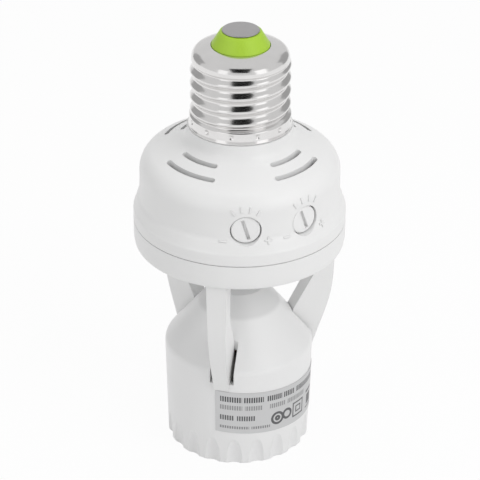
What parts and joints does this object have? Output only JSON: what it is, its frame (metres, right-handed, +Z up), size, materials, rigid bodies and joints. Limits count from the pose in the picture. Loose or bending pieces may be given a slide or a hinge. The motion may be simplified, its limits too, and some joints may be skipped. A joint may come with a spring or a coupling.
{
  "type": "motion sensor lamp holder",
  "caption": "Screw-in lamp holder with a screw cap on top, a domed sensor housing with slotted dials, and a fluted lamp cup hung below it on slim legs.",
  "frame": {"origin": "middle of the rim's lower face, on the axis that the screw cap and the lamp socket share", "axes": "+Z up through the screw cap; -Y is the side with the time dial; +X is to the right seen from there"},
  "size_m": [0.0566, 0.0566, 0.1215],
  "materials": {
    "cap_metal": "bright nickel plate",
    "green_plastic": "moulded insulator",
    "contact_metal": "dull tinned disc",
    "white_plastic": "satin moulded",
    "dial_plastic": "satin moulded",
    "lens_plastic": "milky moulded lens",
    "clear_plastic": "clear window",
    "steel": "plated",
    "dark_glass": "dark filter window",
    "brass": "plain",
    "sensor_ceramic": "light sensor",
    "board": "phenolic board",
    "blue_plastic": "moulded case",
    "yellow_plastic": "moulded case",
    "black_plastic": "moulded case",
    "resistor_ceramic": "coated",
    "brown_wire": "insulated wire",
    "blue_wire": "insulated wire",
    "socket_ceramic": "glazed",
    "label_foil": "printed foil"
  },
  "bodies": {
    "holder": {"cap_shell": "cap_metal", "cap_insulator": "green_plastic", "cap_contact": "contact_metal", "upper_housing": "white_plastic", "lower_frame": "white_plastic", "fresnel_lens": "lens_plastic", "light_window": "clear_plastic", "pir_can": "steel", "pir_window": "dark_glass", "pir_pins": "brass", "light_sensor": "sensor_ceramic", "circuit_board": "board", "time_trimmer": "blue_plastic", "lux_trimmer": "blue_plastic", "trimmer_pins": "steel", "relay": "blue_plastic", "film_capacitor": "yellow_plastic", "electrolytic_capacitor": "black_plastic", "control_chip": "black_plastic", "chip_pins": "steel", "diodes": "black_plastic", "resistors": "resistor_ceramic", "housing_screws": "steel", "board_screws": "steel", "live_wire": "brown_wire", "neutral_wire": "blue_wire", "lamp_live_wire": "brown_wire", "lamp_neutral_wire": "blue_wire", "lamp_cup": "white_plastic", "socket_base": "socket_ceramic", "socket_shell": "brass", "socket_rivets": "brass", "centre_terminal": "brass", "contact_spring": "steel", "rating_label": "label_foil", "socket_washer": "brass"},
    "time_knob": {"time_dial": "dial_plastic"},
    "lux_knob": {"lux_dial": "dial_plastic"},
    "lamp_contact": {"contact_plunger": "brass"}
  },
  "joints": [
    {"name": "time_dial_turn", "type": "hinge", "parent": "holder", "child": "time_knob", "pos_m": [0, -0.026, 0.077], "axis": [0, -1, 0], "range_deg": [-152, 118]},
    {"name": "lux_dial_turn", "type": "hinge", "parent": "holder", "child": "lux_knob", "pos_m": [0.01528, -0.02103, 0.077], "axis": [0.5878, -0.809, 0], "range_deg": [-156, 114]},
    {"name": "lamp_contact_press", "type": "slide", "parent": "holder", "child": "lamp_contact", "axis": [0, 0, 1], "range_m": [0, 0.0015], "stiffness_N_per_m": 1000, "springref_m": -0.0005, "deforming": ["contact_spring"]}
  ]
}
